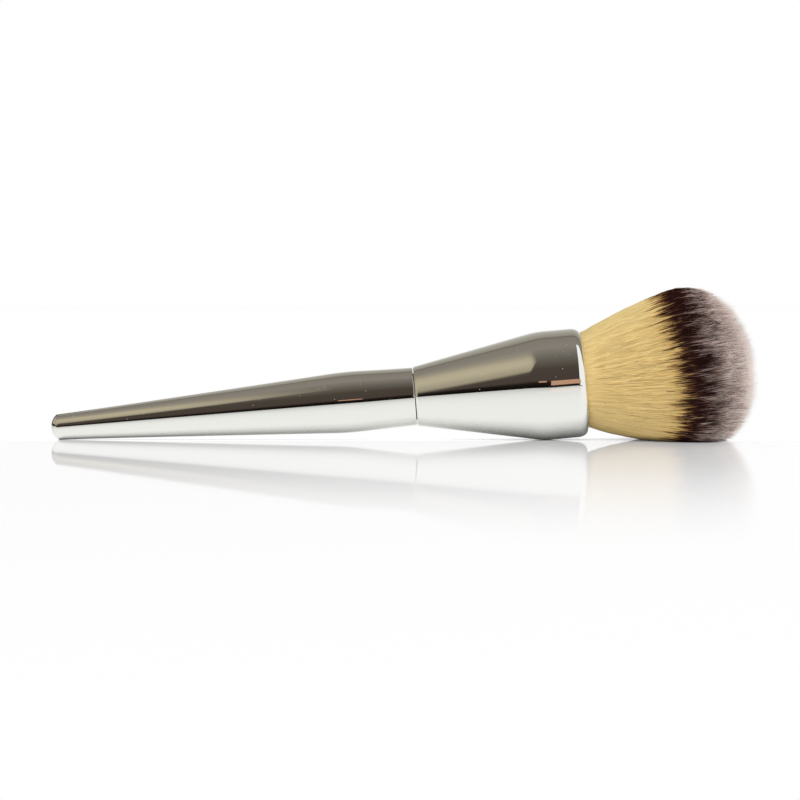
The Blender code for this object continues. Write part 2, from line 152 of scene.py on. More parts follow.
@dataclass(frozen=True)
class PlatedChrome:
    """Decorative chrome plate, buffed before plating: a mirror with faint rub marks and some dust."""

    colour: str = "#EEEEE9"
    roughness: float = 0.035
    rubbed_roughness: float = 0.075
    rub_spacing_mm: float = 3.5
    rub_noise: Span = (0.45, 0.75)
    dust_spacing_mm: float = 1.6
    dust_size_mm: float = 0.10
    dustless_cells: float = 0.35
    dust_roughness: float = 0.6
    dust_colour: str = "#CFC6B6"

    def make(self) -> bpy.types.Material:
        """Build the material.

        Returns:
            The plating's material.
        """
        sheet = NodeSheet(bpy.data.materials.new("plated_chrome_buffed"))
        add = sheet.add
        place = add("TexCoord", out="Object")
        # Rub marks lie along the brush, ten times as long as they are wide.
        along = add("Mapping", {"Vector": place, "Scale": (0.1, 1.0, 1.0)})
        rubs = add("TexNoise", {"Vector": along, "Scale": 1 / (self.rub_spacing_mm * MM), "Detail": 4.0})
        low, high = self.rub_noise
        rubbed = {"To Min": self.roughness, "To Max": self.rubbed_roughness}
        rough = add("MapRange", {"Value": rubs, "From Min": low, "From Max": high, **rubbed})
        # Dust: the nearest point of a sparse grid of random points, on two cells in three.
        cells = add("TexVoronoi", {"Vector": place, "Scale": 1 / (self.dust_spacing_mm * MM)})
        speck = self.dust_size_mm / self.dust_spacing_mm
        near = add("Math", {0: cells, 1: speck}, operation="LESS_THAN")
        chosen = add("SeparateColor", {0: cells.node.outputs["Color"]})
        some = add("Math", {0: chosen, 1: self.dustless_cells}, operation="GREATER_THAN")
        dust = add("Math", {0: near, 1: some}, operation="MULTIPLY")
        colours = {6: linear(self.colour), 7: linear(self.dust_colour)}
        tint = add("Mix", {0: dust, **colours}, 2, data_type="RGBA")
        metal = add("Math", {0: 1.0, 1: dust}, operation="SUBTRACT")
        dulled = add("Math", {0: dust, 1: self.dust_roughness}, operation="MULTIPLY")
        total = add("Math", {0: rough, 1: dulled}, operation="ADD")
        plate = add("BsdfPrincipled", {"Base Color": tint, "Metallic": metal, "Roughness": total})
        add("OutputMaterial", {0: plate})
        return sheet.owner


@dataclass(frozen=True)
class GrainedSolid:
    """A plain solid whose surface was made by one process that leaves a grain of a known size."""

    name: str
    colour: str
    second_colour: str
    grain_mm: tuple[float, float, float]
    metallic: float
    roughness: float
    bump: float
    bump_mm: float = 0.05

    def make(self) -> bpy.types.Material:
        """Build the material.

        Returns:
            A two-tone noise of the grain's size, with a bump of the same grain.
        """
        sheet = NodeSheet(bpy.data.materials.new(self.name))
        add = sheet.add
        place = add("TexCoord", out="Object")
        sized = add("Mapping", {"Vector": place, "Scale": per_metre(self.grain_mm)})
        grain = add("TexNoise", {"Vector": sized, "Scale": 1.0, "Detail": 3.0})
        colours = {6: linear(self.colour), 7: linear(self.second_colour)}
        tint = add("Mix", {0: grain, **colours}, 2, data_type="RGBA")
        normal = add("Bump", {"Height": grain, "Strength": self.bump, "Distance": self.bump_mm * MM})
        skin = {"Metallic": self.metallic, "Roughness": self.roughness, "Normal": normal}
        add("OutputMaterial", {0: add("BsdfPrincipled", {"Base Color": tint, **skin})})
        return sheet.owner


@dataclass(frozen=True)
class DyedFilament:
    """Crimped nylon filament, dyed in three bands: straw root, near-black brown and pale pink tip."""

    # Shares of the reach, from where the dark band ends towards the root, and from the tip.
    root_dye: tuple[tuple[float, str], ...] = (
        (0.0, "#31130F"),
        (0.25, "#8F6238"),
        (0.55, "#EFCD82"),
        (1.0, "#FBE09E"),
    )
    tip_dye: tuple[tuple[float, str], ...] = (
        (0.0, "#FFF1E8"),
        (0.2, "#FFF1E8"),
        (0.46, "#BC998D"),
        (0.78, "#31130F"),
        (1.0, "#31130F"),
    )
    band_end_mm: float = -1.0
    reach_mm: float = 4.0
    tip_reach_mm: float = 5.0
    lowest_value: float = 0.9
    highest_value: float = 1.05
    contact_shade_value: float = 0.25
    packed_size_mm: tuple[float, float, float] = (20.0, 0.4, 0.4)
    packed_gap_shade: Span = (0.75, 0.3)
    packed_shift_mm: Span = (-2.6, 1.0)
    packed_lowest_value: float = 0.55
    roughness: float = 0.5
    specular: float = 0.12

    def make(self, packed: bool = False) -> bpy.types.Material:
        """Build the material.

        Args:
            packed: True for the bundle's heart, whose one skin stands for many filaments.

        Returns:
            The filament's material, which reads each strand's own attributes.
        """
        sheet = NodeSheet(bpy.data.materials.new("dyed_nylon_filament" + "_packed" * packed))
        add = sheet.add
        names = ("dye", "from_tip", "shade", "contact_shade")
        dye, from_tip, shade, contact_shade = (add("Attribute", out="Fac", attribute_name=name) for name in names)
        if packed:
            # Columns along the brush: streaks from the side and separate ends from the front, with painted
            # shade in the gaps between them. They are drawn thicker than real filament, which would be too
            # fine to show.
            place = add("TexCoord", out="Object")
            sized = add("Mapping", {"Vector": place, "Scale": per_metre(self.packed_size_mm)})
            cells = add("TexVoronoi", {"Vector": sized, "Scale": 1.0})
            chance = add("SeparateColor", {0: cells.node.outputs["Color"]}).node.outputs
            low, high = self.packed_gap_shade
            gap_shade = add("MapRange", {"Value": cells, "From Min": low, "From Max": high})
            shade = add("Math", {0: chance[1], 1: gap_shade}, operation="MULTIPLY")
            low, high = self.packed_shift_mm
            longer = add("MapRange", {"Value": chance[0], "To Min": low, "To Max": high})
            from_tip = add("Math", {0: from_tip, 1: longer}, operation="ADD")
        ends = {"From Min": self.band_end_mm, "From Max": self.reach_mm}
        root = add("ValToRGB", {0: add("MapRange", {"Value": dye, **ends})})
        tip = add("ValToRGB", {0: add("MapRange", {"Value": from_tip, "From Max": self.tip_reach_mm})})
        for ramp, stops in ((root, self.root_dye), (tip, self.tip_dye)):
            set_stops(ramp, [(position, linear(colour)) for position, colour in stops])
        is_root = add("Math", {0: dye, 1: self.band_end_mm}, operation="GREATER_THAN")
        banded = add("Mix", {0: is_root, 6: tip, 7: root}, 2, data_type="RGBA")
        # The heart's lower values paint the shade deep inside the bundle, along with its random tones.
        lowest = self.packed_lowest_value if packed else self.lowest_value
        value = add("MapRange", {"Value": shade, "To Min": lowest, "To Max": self.highest_value})
        # Painted shade: strands near the surface are darkened, for the shadow that they and thousands of
        # finer ones cast where they are squeezed against it.
        squeezed = add("MapRange", {"Value": contact_shade, "To Min": self.contact_shade_value})
        value = add("Math", {0: value, 1: squeezed}, operation="MULTIPLY")
        varied = add("HueSaturation", {"Color": banded, "Value": value})
        skin = {"Roughness": self.roughness, "Specular IOR Level": self.specular}
        add("OutputMaterial", {0: add("BsdfPrincipled", {"Base Color": varied, **skin})})
        return sheet.owner


# Cold drawing leaves fine lines along the bar, which smear its highlight across them.
STEEL = GrainedSolid("free_cutting_steel_drawn", "#8E8F91", "#A9AAAB", (6.0, 0.15, 0.15), 1.0, 0.38, 0.3)
# A spark-eroded mould leaves an even, fine pitted skin without a clear highlight.
ABS = GrainedSolid("abs_moulded", "#CFCCC2", "#C2BFB5", (0.4, 0.4, 0.4), 0.0, 0.5, 0.35)
# Resin that set in place is glossy and a little cloudy, with a slow wave in its skin.
RESIN = GrainedSolid("epoxy_cured", "#B98F4B", "#A87D3A", (1.5, 1.5, 1.5), 0.0, 0.2, 0.15)
# Wound thread shows its turns as matt ribs.
THREAD = GrainedSolid("polyester_thread_wound", "#D9D3C2", "#B9B29F", (0.25, 0.9, 0.25), 0.0, 0.85, 1.0)


# The brush's axis and its turned outlines.


@dataclass(frozen=True)
class BrushAxis:
    """The line through the middle of handle and ferrule, from the tip's pole towards the bristles."""

    tip: np.ndarray
    forward: np.ndarray
    down: np.ndarray
    side: np.ndarray

    @classmethod
    def from_nodes(cls, handle: bpy.types.Object, ferrule: bpy.types.Object) -> "BrushAxis":
        """Find the axis from two turned CAD pieces.

        Args:
            handle: The handle's CAD object.
            ferrule: The ferrule's CAD object.

        Returns:
            The axis through the middles of both pieces' distinct corners.
        """
        corners = [cls.corners(thing) for thing in (handle, ferrule)]
        middles = [points.mean(axis=0) for points in corners]
        forward = middles[1] - middles[0]
        forward[1] = 0.0
        forward /= np.linalg.norm(forward)
        along = (corners[0] - middles[0]) @ forward
        tip = middles[0] + forward * along.min()
        side = np.array([0.0, 1.0, 0.0])
        return cls(tip, forward, np.cross(side, forward), side)

    @staticmethod
    def corners(thing: bpy.types.Object) -> np.ndarray:
        """Find the distinct corners of a CAD object's loose triangles.

        Args:
            thing: The CAD object.

        Returns:
            Rows of x, y, z.
        """
        flat = np.empty(len(thing.data.vertices) * 3)
        thing.data.vertices.foreach_get("co", flat)
        return np.unique(flat.reshape(-1, 3).round(7), axis=0)

    def place(self, along: np.ndarray, down: np.ndarray, side: np.ndarray) -> np.ndarray:
        """Turn places on the brush into points of the scene.

        Args:
            along: Distance from the tip's pole along the axis.
            down: Distance from the axis towards the surface, square to the axis.
            side: Distance from the axis along world Y.

        Returns:
            Points with a last dimension of three.
        """
        level = self.tip + along[..., None] * self.forward
        return level + down[..., None] * self.down + side[..., None] * self.side

    def poles(self, first: float, last: float) -> np.ndarray:
        """Return the two points of the axis at these distances from the tip's pole."""
        return self.place(np.array([first, last]), np.zeros(2), np.zeros(2))


def between(start: Number, end: Number, share: Number) -> Number:
    """Return the value that lies this share of the way from start to end."""
    return start + (end - start) * share


def smooth_share(value: np.ndarray, low: float, high: float) -> np.ndarray:
    """Return 0 below low, 1 above high and a smooth rise 3t^2 - 2t^3 between them."""
    share = np.clip((value - low) / (high - low), 0.0, 1.0)
    return share * share * (3.0 - 2.0 * share)


def degrees_from_top(turn: np.ndarray) -> np.ndarray:
    """Return how far an angle round the axis, 0 at the underside, is from the top."""
    return np.degrees(np.abs((turn % math.tau) - math.pi))


def arc(
    centre_along: float, centre_radius: float, size: float, start: float, end: float, steps: int
) -> np.ndarray:
    """Place points round a corner.

    Formula: centre plus size times (cos, sin) of an angle that runs evenly from start to end.

    Args:
        centre_along: Centre along the axis.
        centre_radius: Centre's distance from the axis.
        size: Radius of the corner.
        start: First angle, where 0 points along the axis and a quarter turn outwards.
        end: Last angle.
        steps: Number of straight pieces.

    Returns:
        Rows of (along, radius).
    """
    turn = np.linspace(start, end, steps + 1)
    return np.column_stack([centre_along + size * np.cos(turn), centre_radius + size * np.sin(turn)])


def turned_faces(rows: int, sides: int, ring: bool = False, towards_tips: bool = False) -> list[list[int]]:
    """Number the faces of a surface that closes round the axis, row by row.

    Args:
        rows: Rows of vertices.
        sides: Vertices in a row.
        ring: True if the last row joins the first. Otherwise two more vertices close the ends.
        towards_tips: True if an outer side's rows run towards the bristles' tips.

    Returns:
        The faces, which point outwards.
    """
    column = np.arange(sides)
    after = (column + 1) % sides
    starts = np.arange(rows if ring else rows - 1)[:, None] * sides
    ends = (starts + sides) % (rows * sides)
    groups = [[starts + column, ends + column, ends + after, starts + after]]
    if not ring:
        base = (rows - 1) * sides
        groups += [[rows * sides, column, after], [rows * sides + 1, base + after, base + column]]
    faces = []
    for first, *others in groups:
        corners = [first, *(reversed(others) if towards_tips else others)]
        faces += np.stack(np.broadcast_arrays(*corners), axis=-1).reshape(-1, len(corners)).tolist()
    return faces


def new_mesh_object(
    name: str, points: np.ndarray, faces: list[list[int]], material: bpy.types.Material
) -> bpy.types.Object:
    """Make a smooth mesh object whose place is in its mesh.

    Args:
        name: Name of the object.
        points: Vertices as rows of x, y, z.
        faces: Vertex numbers of each face.
        material: The piece's material.

    Returns:
        The linked object.
    """
    mesh = bpy.data.meshes.new(name)
    mesh.from_pydata(points.tolist(), [], faces)
    mesh.polygons.foreach_set("use_smooth", np.ones(len(mesh.polygons), dtype=bool))
    mesh.materials.append(material)
    mesh.update()
    thing = bpy.data.objects.new(name, mesh)
    bpy.context.scene.collection.objects.link(thing)
    return thing


def store_numbers(thing: bpy.types.Object, attributes: dict[str, np.ndarray]) -> None:
    """Store one number per vertex under each name.

    Args:
        thing: The mesh object.
        attributes: Arrays with a value per vertex, by attribute name.
    """
    for name, values in attributes.items():
        layer = thing.data.attributes.new(name, "FLOAT", "POINT")
        layer.data.foreach_set("value", values.astype(np.float32))


def revolve(
    name: str, axis: BrushAxis, outline: np.ndarray, ring: bool, material: bpy.types.Material
) -> bpy.types.Object:
    """Turn an outline round the brush's axis.

    Formula: point (along, radius) at angle t lies at down = radius cos t and side = radius sin t,
    and a point on the axis is one vertex.

    Args:
        name: Name of the piece.
        axis: The brush's axis.
        outline: Rows of (along, radius). A cup starts and ends on the axis.
        ring: True if the last point joins the first, as on an open-ended tube.
        material: The piece's material.

    Returns:
        A closed piece with its faces outwards.
    """
    sides = 256
    rows = outline if ring else outline[1:-1]
    turn = np.linspace(0.0, math.tau, sides, endpoint=False)
    along = np.repeat(rows[:, :1], sides, axis=1)
    points = axis.place(along, rows[:, 1:] * np.cos(turn), rows[:, 1:] * np.sin(turn)).reshape(-1, 3)
    if not ring:
        points = np.vstack([points, axis.poles(outline[0, 0], outline[-1, 0])])
    return new_mesh_object(name, points, turned_faces(len(rows), sides, ring), material)


@dataclass
class Handle:
    """Plated, tapered shell with a crowned tip and an open end at the seam."""

    length: float = 100.3 * MM
    tip_radius: float = 3.5 * MM
    tip_crown: float = 1.7 * MM
    tip_edge: float = 0.4 * MM
    crest_radius: float = 8.55 * MM
    crest_along: float = 82.0 * MM
    crest_blend: float = 0.52 * MM
    end_radius: float = 8.04 * MM
    taper_power: float = 1.05
    neck_power: float = 1.5
    wall: float = 1.4 * MM
    bore_floor: float = 22.0 * MM
    bore_rows: int = 24
    socket_along: float = 80.0 * MM
    seam_round: float = 0.2 * MM
    row_spacing: float = 0.55 * MM

    def radius(self, along: np.ndarray) -> np.ndarray:
        """Give the outside radius.

        Formula: the lower of a long taper, tip + rise * share^1.05, and a short neck,
        end + rise * share^1.5, less a quadratic blend where the two cross.

        Args:
            along: Distance from the tip.

        Returns:
            Radius at each place.
        """
        share = np.clip((along - self.tip_crown) / (self.crest_along - self.tip_crown), 0.0, None)
        taper = between(self.tip_radius, self.crest_radius, share**self.taper_power)
        left = np.clip((self.length - along) / (self.length - self.crest_along), 0.0, None)
        neck = between(self.end_radius, self.crest_radius, left**self.neck_power)
        overlap = np.clip(self.crest_blend - np.abs(taper - neck), 0.0, None)
        return np.minimum(taper, neck) - overlap**2 / (4 * self.crest_blend)

    def tip_outline(self) -> np.ndarray:
        """Give the tip's small edge round and the crown that leads tangent from it to the pole.

        Returns:
            Rows of (along, radius), from the taper to the pole.
        """
        crown_turn = 2 * math.atan(self.tip_crown / self.tip_radius)
        edge_turn = QUARTER_TURN - crown_turn
        crown_edge = self.tip_radius - self.tip_edge * (1 - math.cos(edge_turn))
        crown_size = crown_edge / math.sin(crown_turn)
        edge_centre = crown_size * (1 - math.cos(crown_turn)) + self.tip_edge * math.sin(edge_turn)
        edge_end = QUARTER_TURN + edge_turn
        edge = arc(edge_centre, self.tip_radius - self.tip_edge, self.tip_edge, QUARTER_TURN, edge_end, 6)
        crown = arc(crown_size, 0.0, crown_size, edge_end, math.pi, 14)
        crown[-1] = (0.0, 0.0)
        return np.vstack([edge, crown[1:]])

    def outline(self) -> np.ndarray:
        """Give the cup's outline: up the bore, over the rim and down the outer side.

        Returns:
            Rows of (along, radius) that start and end on the axis.
        """
        bore_along = np.linspace(self.bore_floor, self.socket_along, self.bore_rows)
        socket = float(self.radius(np.array(self.socket_along))) - self.wall
        socket = min(socket, self.end_radius - self.wall)
        bore = np.column_stack([bore_along, np.minimum(self.radius(bore_along) - self.wall, socket)])
        round_centre = self.length - self.seam_round
        rim = arc(round_centre, self.end_radius - self.seam_round, self.seam_round, 0.0, QUARTER_TURN, 6)
        rows = int((round_centre - self.tip_crown) / self.row_spacing)
        side_along = np.linspace(round_centre, self.tip_crown, rows)[1:-1]
        side = np.column_stack([side_along, self.radius(side_along)])
        floor, mouth = (self.bore_floor, 0.0), (self.length, socket)
        return np.vstack([floor, bore, mouth, rim, side, self.tip_outline()])

    def build(self, axis: BrushAxis, chrome: bpy.types.Material) -> bpy.types.Object:
        """Build and dress the shell.

        Args:
            axis: The brush's axis.
            chrome: The plating.

        Returns:
            The finished piece, which replaces the CAD shell.
        """
        shell = revolve("handle_plated_shell", axis, self.outline(), False, chrome)
        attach(shell, "root")
        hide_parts("handle_shell")
        return shell


@dataclass
class Ferrule:
    """Plated cone that turns into a short band with a lip rolled inwards."""

    foot: float = 100.5 * MM
    foot_radius: float = 8.22 * MM
    cone_foot: float = 100.6 * MM
    cone_foot_radius: float = 8.24 * MM
    radius: float = 15.0 * MM
    cone_length: float = 34.1 * MM
    mouth: float = 146.8 * MM
    lip_length: float = 2.6 * MM
    lip_thickness: float = 1.5 * MM
    lip_depth: float = 1.8 * MM
    wall: float = 1.2 * MM
    shoulder_round: float = 28.0 * MM
    seam_round: float = 0.2 * MM
    row_spacing: float = 0.55 * MM

    def outline(self) -> np.ndarray:
        """Give the closed section: down the outer side, then up the bore and under the lip.

        Returns:
            Rows of (along, radius) of a ring.
        """
        turn = math.atan((self.radius - self.cone_foot_radius) / self.cone_length)
        shoulder = self.cone_foot + self.cone_length
        centre = shoulder + self.shoulder_round * math.tan(turn / 2)
        mouth_radius = self.radius - self.lip_thickness
        lip = arc(0.0, 0.0, 1.0, 0.0, QUARTER_TURN, 20) * (self.lip_length, self.lip_thickness)
        lip += (self.mouth - self.lip_length, mouth_radius)
        cone_turn = QUARTER_TURN + turn
        size = self.shoulder_round
        bend = arc(centre, self.radius - size, size, QUARTER_TURN, cone_turn, 12)
        foot_centre = (self.foot + self.seam_round, self.foot_radius - self.seam_round)
        foot = arc(*foot_centre, self.seam_round, cone_turn, math.pi, 6)
        band = self.evenly(lip[-1], bend[0])
        cone = self.evenly(bend[-1], foot[0])
        bore_radius = self.radius - self.wall
        roll_foot = self.mouth - self.lip_depth
        bore = [(self.foot, self.cone_foot_radius - self.wall), (shoulder, bore_radius)]
        roll = [(roll_foot, bore_radius), (roll_foot, mouth_radius)]
        return np.vstack([lip, band, bend, cone, foot, bore, roll])

    def evenly(self, start: np.ndarray, end: np.ndarray) -> np.ndarray:
        """Give evenly spaced points between two points, without either of them.

        Args:
            start: First point as (along, radius).
            end: Last point.

        Returns:
            Rows of (along, radius).
        """
        rows = max(2, int(np.linalg.norm(end - start) / self.row_spacing))
        share = np.linspace(0.0, 1.0, rows)[1:-1, None]
        return start + (end - start) * share

    def build(self, axis: BrushAxis, chrome: bpy.types.Material) -> bpy.types.Object:
        """Build and dress the ferrule.

        Args:
            axis: The brush's axis.
            chrome: The plating.

        Returns:
            The finished piece, which replaces the CAD ferrule.
        """
        cone = revolve("ferrule_plated_cone", axis, self.outline(), True, chrome)
        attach(cone, "root")
        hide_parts("ferrule")
        return cone


# The tuft.


class Layer(Enum):
    """The two layers of strands: long ones that show from end to end, and shorter ones inside."""

    OUTER = "outer"
    INNER = "inner"


@dataclass(frozen=True)
class LayerPlan:
    """How one layer of strands is drawn."""

    pieces: int
    strands_each: int
    share_low: float
    share_high: float
    stations: int
    root_share: float


@dataclass(frozen=True)
class Locks:
    """Small locks that the strands' ends lean together in, each with its own length and dye."""

    place: np.ndarray
    longer: np.ndarray
    band: np.ndarray
    dark: np.ndarray

    @classmethod
    def scatter(cls, count: int, length_mm: float, dye: float, rng: np.random.Generator) -> "Locks":
        """Scatter locks evenly over the unit disc of the bundle's section.

        Args:
            count: Number of locks.
            length_mm: Scatter of their length and of where their dark band ends.
            dye: Scatter of how early their tips darken, in the factor's logarithm.
            rng: The seeded source of scatter.

        Returns:
            The locks, with lengths in millimetres and a factor on how early their tips darken.
        """
        reach, turn = np.sqrt(rng.uniform(0.0, 1.0, count)), rng.uniform(0.0, math.tau, count)
        place = np.column_stack([reach * np.cos(turn), reach * np.sin(turn)])
        longer, band = rng.normal(0.0, length_mm, count), rng.normal(0.0, length_mm, count)
        return cls(place, longer, band, rng.lognormal(0.0, dye, count))

    def nearest(self, foot: np.ndarray) -> np.ndarray:
        """Find each strand's lock.

        Formula: the lock with the least squared distance, |lock|^2 - 2 lock . foot.

        Args:
            foot: Places on the unit disc as rows.

        Returns:
            The number of the nearest lock for each row.
        """
        place = self.place.astype(np.float32)
        return np.argmin((place**2).sum(axis=1) - 2 * foot.astype(np.float32) @ place.T, axis=1)


@dataclass
class Tuft:
    """Flared, domed bundle of filaments that lies pressed on the surface."""

    axis: BrushAxis
    start: float = 144.5 * MM
    mouth: float = 146.4 * MM
    mouth_radius: float = 13.2 * MM
    head: float = 174.5 * MM
    head_radius: float = 23.4 * MM
    pole: float = 193.8 * MM
    flare_power: float = 1.25
    top_rim: float = 175.5 * MM
    low_rim: float = 178.8 * MM
    under_rim: float = 175.2 * MM
    dome_power: float = 2.2
    rim_side_degrees: Span = (25.0, 95.0)
    rim_under_degrees: Span = (115.0, 175.0)
    press_power: float = 12.0
    press_share: float = 0.03
    press_blend: Span = (0.95, 1.15)
    underside_tuck: float = 0.09
    tuck_fade: float = 35.0 * MM
    core_sides: int = 160
    core_flare_rows: int = 26
    core_dome_rows: int = 24
    core_inset: float = 1.5 * MM
    core_root_inset: float = 0.35
    core_pole_inset: float = 1.3
    core_rim_from_tip: float = 1.5 * MM
    core_from_tip_mm: float = 3.2
    core_root_from_tip_mm: float = 40.0
    core_clear_strands: float = 3.0
    strand_radius: float = 0.10 * MM
    radius_scatter: Span = (0.85, 1.15)
    point_share: float = 0.25
    point_length: float = 8.0 * MM
    mean_tip_mm: float = 0.4
    most_shorter_mm: float = 5.0
    most_past_pole: float = 0.8 * MM
    crossing: float = 0.03
    lift: float = 0.12
    lock_count: int = 6000
    lock_scatter_mm: float = 0.5
    lock_dye_scatter: float = 0.35
    lock_pull: float = 0.4
    weave_share: float = 0.016
    weave_length: float = 13.0 * MM
    weave_start: float = 6.0 * MM
    calmest_weave: float = 0.35
    unruly_sides: int = 3
    widest_reach: float = 1.012
    band_mm: float = 8.8
    band_scatter_mm: float = 0.9
    dark_tip_share: float = 0.22
    dark_tip_factor: float = 2.5
    dark_tip_reach: Span = (0.5, 0.8)
    dark_tip_degrees: Span = (20.0, 80.0)
    dye_scatter: float = 0.4
    inner_dye: float = 0.52
    inner_dye_reach: Span = (0.6, 0.92)
    top_dye: float = 1.6
    side_dye: float = 0.4
    side_dye_degrees: Span = (25.0, 80.0)
    rim_dye_reach: Span = (0.9, 0.99)
    contact_shade_reach: float = 1.6 * MM
    seed: int = 20
    plans: tuple[tuple[Layer, LayerPlan], ...] = (
        (Layer.OUTER, LayerPlan(4, 3300, 0.92, 1.0, 11, 0.0)),
        (Layer.INNER, LayerPlan(2, 10500, 0.0, 0.92, 4, 0.45)),
    )

    def spread(self, along: np.ndarray) -> np.ndarray:
        """Give the radius of the outermost strands.

        Formula: mouth + rise * (1 - (1 - share)^1.25) up to the head, and level past it.

        Args:
            along: Distance from the handle's tip.

        Returns:
            Radius before the tuft is pressed.
        """
        share = np.clip((along - self.mouth) / (self.head - self.mouth), 0.0, 1.0)
        return between(self.mouth_radius, self.head_radius, 1 - (1 - share) ** self.flare_power)

    def rim(self, turn: np.ndarray) -> np.ndarray:
        """Give where the dome starts.

        Formula: the top rim's place at the top, rising smoothly to the low rim's from 25 to 95
        degrees away from it, and falling to the underside's from 115 to 175 degrees.

        Args:
            turn: Angle round the axis, where 0 is the underside.

        Returns:
            Distance along the axis.
        """
        from_top = degrees_from_top(turn)
        sides = between(self.top_rim, self.low_rim, smooth_share(from_top, *self.rim_side_degrees))
        return between(sides, self.under_rim, smooth_share(from_top, *self.rim_under_degrees))

    def tip_along(self, share: np.ndarray, turn: np.ndarray) -> np.ndarray:
        """Give where a strand ends on the dome.

        Formula: rim + (pole - rim) * (1 - share^2.2)^(1/2.2), a little fuller than an ellipse.

        Args:
            share: The strand's share of the spread, 0 on the axis.
            turn: Angle round the axis.

        Returns:
            Distance along the axis.
        """
        rim = self.rim(turn)
        fullness = np.clip(1 - share**self.dome_power, 0.0, 1.0) ** (1 / self.dome_power)
        return rim + (self.pole - rim) * fullness

    def surface(self, along: np.ndarray) -> np.ndarray:
        """Return how far below the axis, square to it, the surface lies at these distances."""
        return (self.axis.tip[2] + along * self.axis.forward[2]) / -self.axis.down[2]

    def pressed(self, along: np.ndarray, down: np.ndarray, side: np.ndarray, clear: float) -> np.ndarray:
        """Squeeze the underside flat on the surface.

        Formula: the lower half is tucked in by a share that is largest at the mouth and falls
        exponentially along the flare. Then down is scaled by (1 + ratio^12)^(-1/12), where ratio is
        the free outline at this side over the surface's distance, so that the bundle bends softly
        onto the surface. It is spread 3% more where it lies, and no point goes below the surface.

        Args:
            along: Distance from the handle's tip.
            down: Distance below the axis.
            side: Distance beside the axis.
            clear: Half the thickness of what is placed.

        Returns:
            Distance below the axis after pressing.
        """
        surface = self.surface(along) - clear
        tuck = self.underside_tuck * np.exp(-np.clip(along - self.mouth, 0.0, None) / self.tuck_fade)
        down = np.where(down > 0, down * (1 - tuck), down)
        dome = np.clip((along - self.under_rim) / (self.pole - self.under_rim), 0.0, 1.0)
        outline = self.spread(along) * np.sqrt(1 - dome**2)
        free = np.sqrt(np.clip(outline**2 - side**2, 0.0, None)) * (1 - tuck)
        ratio = free / surface
        squeezed = (1 + ratio**self.press_power) ** (-1 / self.press_power)
        flattened = 1 + self.press_share * smooth_share(ratio, *self.press_blend)
        scale = np.where(down > 0, squeezed * flattened, 1.0)
        return np.minimum(down * scale, surface)

    def strands(
        self, plan: LayerPlan, locks: Locks, rng: np.random.Generator
    ) -> tuple[np.ndarray, list[list[int]], dict[str, np.ndarray]]:
        """Draw one piece's strands.

        Formula: a strand stands at a place on the unit disc, which the spread scales. Along the
        strand that place moves towards its lock by a share that grows with the square of its
        length, turns by a small crossing angle, and weaves in and out as a sine. A three-sided
        section rides on it and narrows towards the tip.

        Args:
            plan: How the layer is drawn.
            locks: The locks of the whole tuft.
            rng: The seeded source of scatter.

        Returns:
            Vertices, faces and point attributes by name. They say how clear of the surface a point is, for
            the painted shade near it, how far from the tip and from the dark band's end its dye takes it to
            be, in millimetres, and the strand's own shade.
        """
        count = plan.strands_each
        share = np.sqrt(rng.uniform(plan.share_low**2, plan.share_high**2, count))
        turn = rng.uniform(0.0, math.tau, count)
        foot = np.column_stack([share * np.cos(turn), share * np.sin(turn)])
        lock = locks.nearest(foot)
        shorter = np.minimum(rng.exponential(1.0, count), self.most_shorter_mm)
        tip = self.tip_along(share, turn) + (self.mean_tip_mm - shorter + locks.longer[lock]) * MM
        tip = np.minimum(tip, self.pole + self.most_past_pole)
        root = between(self.start, self.head, plan.root_share)
        along = root + (tip - root)[:, None] * np.linspace(0.0, 1.0, plan.stations)
        growth = (along - self.start) / (self.pole - self.start)
        lean = growth**2

        drift = (locks.place[lock] - foot)[:, None, :] * (self.lock_pull * lean)[..., None]
        disc = foot[:, None, :] + drift
        crossing = rng.normal(0.0, self.crossing, count)[:, None] * growth
        angle = np.arctan2(disc[..., 1], disc[..., 0]) + crossing + self.lift * lean * np.sin(turn)[:, None]
        unruly = between(self.calmest_weave, 1.0, 0.5 + 0.5 * np.sin(self.unruly_sides * turn))[:, None]
        phase = rng.uniform(0.0, math.tau, count)[:, None] + along * math.tau / self.weave_length
        loose = self.weave_share * unruly * smooth_share(along, self.mouth, self.mouth + self.weave_start)
        reach = np.hypot(disc[..., 0], disc[..., 1]) + loose * np.sin(phase)
        radius = np.minimum(reach, self.widest_reach) * self.spread(along)

        narrowed = between(self.point_share, 1.0, (tip[:, None] - along) / self.point_length)
        thickness = self.strand_radius * rng.uniform(*self.radius_scatter, count)[:, None]
        thickness = thickness * np.clip(narrowed, self.point_share, 1.0)
        side = radius * np.sin(angle)
        down = self.pressed(along, radius * np.cos(angle), side, self.strand_radius)
        points = self.sections(along, down, side, thickness, angle)
        per_strand = points.shape[1]
        offsets = np.arange(count)[:, None] * per_strand
        faces = []
        for group in self.strand_faces(plan.stations - 1):
            faces += (group[None] + offsets[..., None]).reshape(-1, group.shape[1]).tolist()

        from_tip = (tip[:, None] - np.repeat(along, 3, axis=1)[:, :per_strand]) / MM
        from_tip[:, -1] = 0.0
        # Strands darken nearer their tips at the bundle's rim, and at its sides less than on top.
        from_top = degrees_from_top(turn)
        at_rim = between(self.top_dye, self.side_dye, smooth_share(from_top, *self.side_dye_degrees))
        early = between(self.inner_dye, 1.0, smooth_share(share, *self.inner_dye_reach))
        early = early + at_rim * smooth_share(share, *self.rim_dye_reach)
